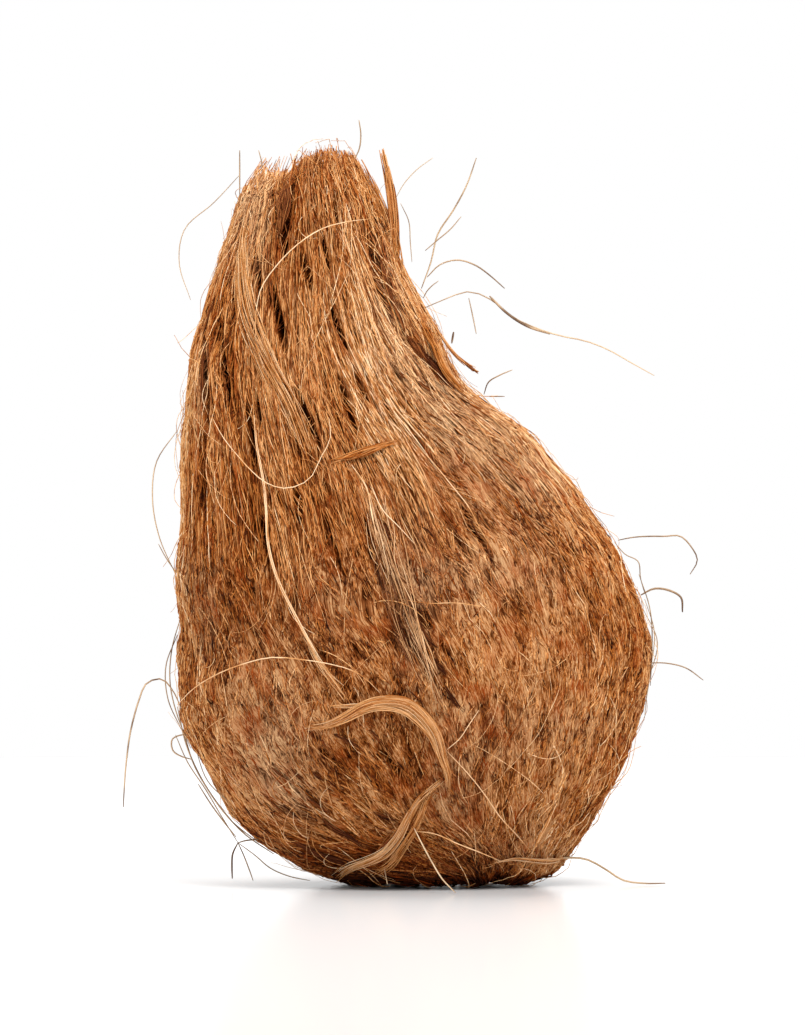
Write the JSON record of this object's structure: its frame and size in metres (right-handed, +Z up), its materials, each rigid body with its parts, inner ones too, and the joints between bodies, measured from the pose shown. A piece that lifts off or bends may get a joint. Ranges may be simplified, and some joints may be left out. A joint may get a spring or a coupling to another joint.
{
  "type": "coconut",
  "caption": "Whole brown coconut with a mat of coir round the nut and a long coir tuft, cut off at the top, standing on a small flat spot.",
  "frame": {"origin": "on the surface that the coconut stands on, under the middle of its bounding box", "axes": "+Z up through the tuft's cut end, +X towards the side on which the nut's shoulder bulges, -Y the front with the crease in the coir"},
  "size_m": [0.1256, 0.1124, 0.195],
  "materials": {
    "coir": "matt dry fibre, warm brown with lighter strands and dark gaps"
  },
  "bodies": {
    "root": {"coconut": "coir"}
  },
  "joints": []
}
